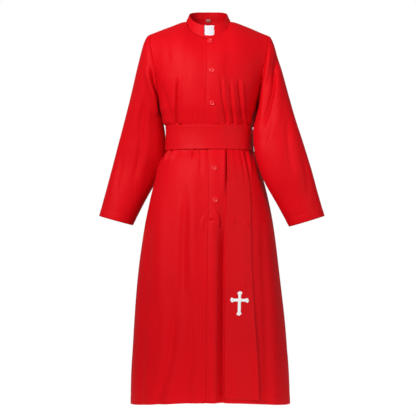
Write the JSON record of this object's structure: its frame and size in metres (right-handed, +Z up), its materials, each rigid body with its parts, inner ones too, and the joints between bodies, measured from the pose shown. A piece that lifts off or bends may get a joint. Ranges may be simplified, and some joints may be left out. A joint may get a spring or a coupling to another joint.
{
  "type": "cassock",
  "caption": "Full-length cassock with stand collar, white tab insert, buttoned lapped front, long set-in sleeves, wide sash and one hanging sash end with a cross.",
  "frame": {"origin": "middle of the neck at the height of the shoulders, where the wearer's shoulders carry the garment", "axes": "+Z up along the garment's length, +Y to the back, +X to the wearer's left; the buttoned front faces -Y"},
  "size_m": [0.811, 0.3861, 1.416],
  "materials": {
    "red_cloth": "soft satin-faced polyester suiting",
    "sash_cloth": "smooth, slightly firmer than the body cloth",
    "red_button": "gloss, raised rim",
    "white_tab": "smooth white",
    "white_embroidery": "satin stitch",
    "label_cloth": "plain woven tape, blank"
  },
  "bodies": {
    "root": {"front_right": "red_cloth", "front_left": "red_cloth", "back": "red_cloth", "sleeve_right": "red_cloth", "sleeve_left": "red_cloth", "collar_band": "red_cloth", "collar_tab": "white_tab", "neck_label": "label_cloth", "sash_band": "sash_cloth", "sash_tail": "sash_cloth", "cross_applique": "white_embroidery", "button_1": "red_button", "button_2": "red_button", "button_3": "red_button", "button_4": "red_button", "button_5": "red_button"}
  },
  "joints": []
}
